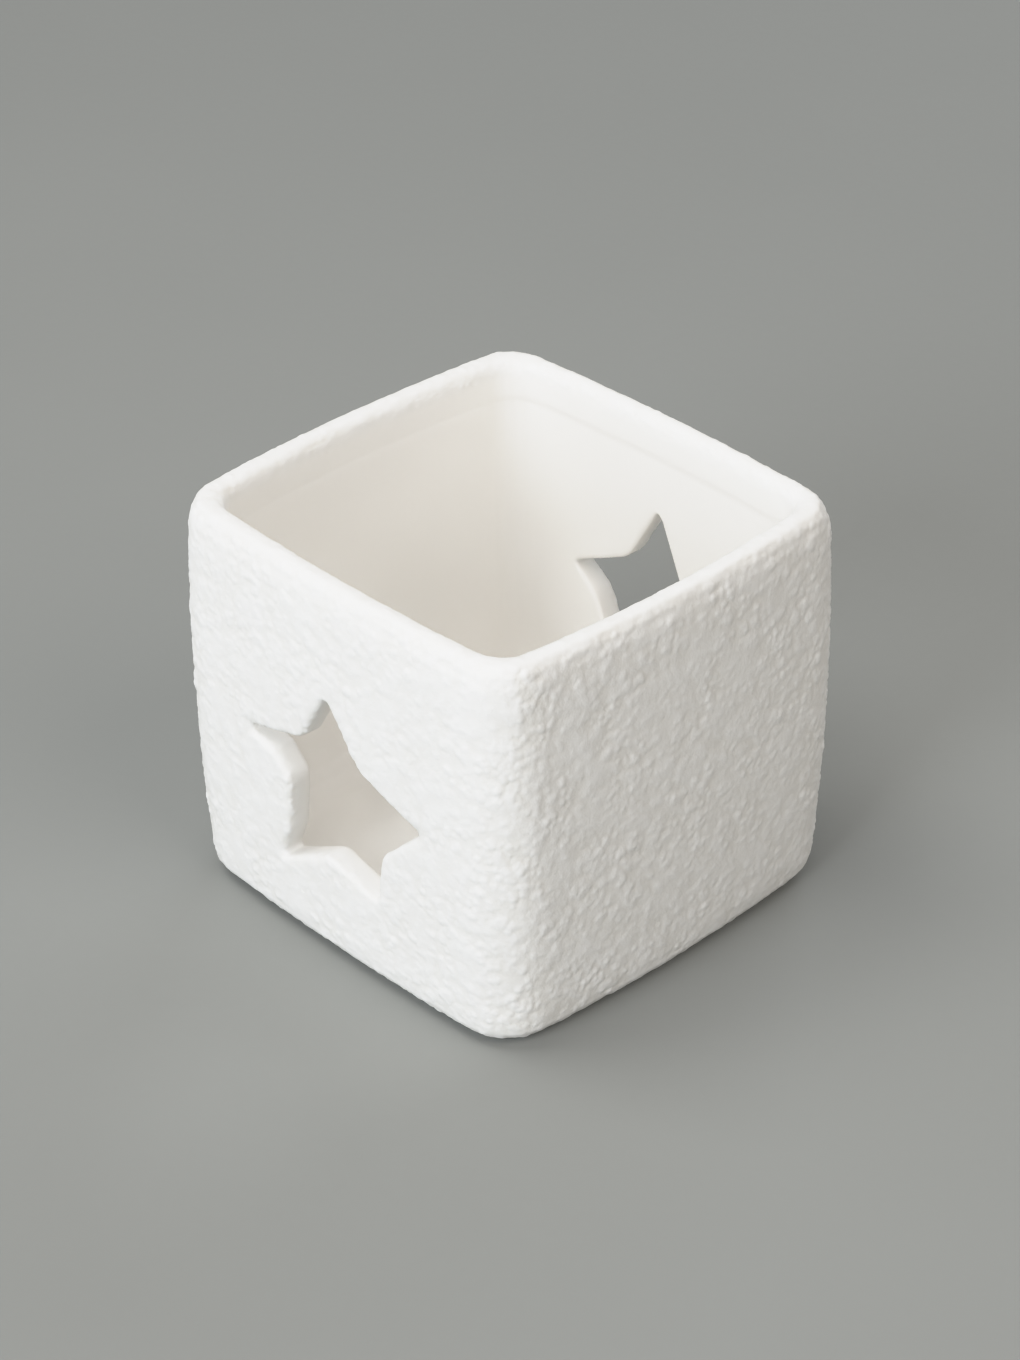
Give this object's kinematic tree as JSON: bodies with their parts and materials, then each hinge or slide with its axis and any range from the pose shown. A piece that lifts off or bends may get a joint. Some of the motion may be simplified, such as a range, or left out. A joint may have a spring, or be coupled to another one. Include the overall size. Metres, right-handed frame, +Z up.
{
  "type": "tealight holder",
  "caption": "Open-topped ceramic cube with a rough sand-textured outside, a star cut through its front and back walls, and a lift-out tealight standing in the well.",
  "frame": {"origin": "centre of the underside, on the surface that the holder stands on", "axes": "+Z up, out of the open top; -Y out of the front wall and +Y out of the back wall, which the stars are cut through; +X and -X out of the plain walls"},
  "size_m": [0.0808, 0.079, 0.071],
  "materials": {
    "sand_coated_ceramic": "matte white, rough sand coat outside and over the rim, smooth inside",
    "cup_aluminium": "bright pressed foil",
    "candle_wax": "satin, slightly translucent",
    "sustainer_tinplate": "dull tinplate",
    "wick_cotton": "waxed cotton braid"
  },
  "bodies": {
    "holder": {"holder_body": "sand_coated_ceramic"},
    "tealight": {"tealight_cup": "cup_aluminium", "tealight_wax": "candle_wax", "wick_sustainer": "sustainer_tinplate", "tealight_wick": "wick_cotton"}
  },
  "joints": [
    {"name": "tealight_lift", "type": "slide", "parent": "holder", "child": "tealight", "axis": [0, 0, 1], "range_m": [0, 0.08]}
  ]
}
